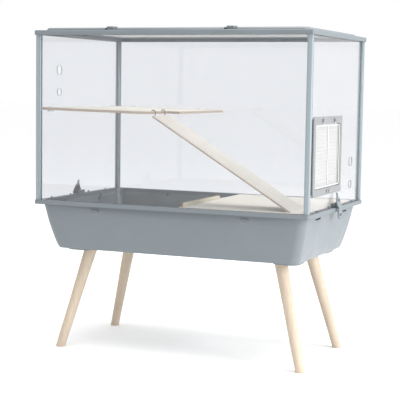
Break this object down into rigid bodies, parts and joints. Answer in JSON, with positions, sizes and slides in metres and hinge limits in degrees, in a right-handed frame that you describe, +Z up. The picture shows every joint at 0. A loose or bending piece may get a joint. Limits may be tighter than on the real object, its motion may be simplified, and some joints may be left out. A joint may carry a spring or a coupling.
{
  "type": "hamster cage",
  "caption": "Hamster cage on splayed wooden legs: moulded tray, clear-walled upper cage that lifts off, hinged wire lid, wire side door, wooden shelf, ramp and deck.",
  "frame": {"origin": "centre of the footprint, on the floor between the four feet", "axes": "+X to the right along the long side, +Y to the back, +Z up; the door is on the +X side and the front is -Y"},
  "size_m": [0.8212, 0.505, 0.901],
  "materials": {
    "grey_plastic": "moulded, fine satin texture",
    "grey_post": "extruded, satin",
    "dark_plastic": "moulded, satin",
    "clear_sheet": "clear polished sheet",
    "beech": "sanded beech, clear matt",
    "plywood": "raw birch plywood with browned cut edges",
    "zinc_steel": "zinc plated",
    "coated_wire": "powder-coated pale grey"
  },
  "bodies": {
    "tray": {"tray_shell": "grey_plastic", "leg_front_left": "beech", "leg_front_right": "beech", "leg_back_left": "beech", "leg_back_right": "beech", "leg_plates": "grey_plastic", "hanger_bolts": "zinc_steel", "plate_screws": "zinc_steel", "panel_pegs": "grey_plastic", "rim_plugs": "dark_plastic", "clip_pins": "zinc_steel", "deck_board": "plywood", "deck_wall_left": "plywood", "deck_wall_right": "plywood", "deck_rail": "plywood"},
    "upper_cage": {"post_front_left": "grey_post", "post_front_right": "grey_post", "post_back_left": "grey_post", "post_back_right": "grey_post", "panel_front": "clear_sheet", "panel_back": "clear_sheet", "panel_left": "clear_sheet", "panel_right": "clear_sheet", "roof_frame": "grey_plastic", "lid_hinge_pins": "zinc_steel", "clip_catches": "grey_plastic", "door_surround": "grey_plastic", "door_backing": "grey_plastic", "door_hinge_pins": "zinc_steel", "door_button_screw": "zinc_steel", "shelf_board": "plywood", "shelf_clips": "clear_sheet", "shelf_clip_studs": "clear_sheet"},
    "roof_lid": {"lid_frame": "grey_plastic", "lid_long_wires": "coated_wire", "lid_cross_wires": "coated_wire"},
    "door_leaf": {"door_leaf_frame": "coated_wire", "door_uprights": "coated_wire", "door_cross_wires": "coated_wire"},
    "door_button": {"door_button": "grey_plastic"},
    "clip_left": {"clip_left": "grey_plastic"},
    "clip_right": {"clip_right": "grey_plastic"},
    "ramp": {"ramp_board": "plywood", "ramp_hooks": "zinc_steel"}
  },
  "joints": [
    {"name": "cage_lift", "type": "slide", "parent": "tray", "child": "upper_cage", "axis": [0, 0, 1], "range_m": [0, 0.15]},
    {"name": "lid_hinge", "type": "hinge", "parent": "upper_cage", "child": "roof_lid", "pos_m": [0, 0.2355, 0.8955], "axis": [-1, 0, 0], "range_deg": [0, 100]},
    {"name": "door_hinge", "type": "hinge", "parent": "upper_cage", "child": "door_leaf", "pos_m": [0.397, -0.0855, 0.661], "axis": [0, -1, 0], "range_deg": [0, 100]},
    {"name": "door_button_turn", "type": "hinge", "parent": "upper_cage", "child": "door_button", "pos_m": [0.398, -0.078, 0.4742], "axis": [1, 0, 0], "range_deg": [0, 90]},
    {"name": "clip_left_hinge", "type": "hinge", "parent": "tray", "child": "clip_left", "pos_m": [-0.4036, 0, 0.4187], "axis": [0, -1, 0], "range_deg": [0, 30]},
    {"name": "clip_right_hinge", "type": "hinge", "parent": "tray", "child": "clip_right", "pos_m": [0.4036, 0, 0.4187], "axis": [0, 1, 0], "range_deg": [0, 30]},
    {"name": "ramp_hinge", "type": "hinge", "parent": "upper_cage", "child": "ramp", "pos_m": [-0.0705, -0.148, 0.673], "axis": [0, -1, 0], "range_deg": [0, 11]}
  ]
}
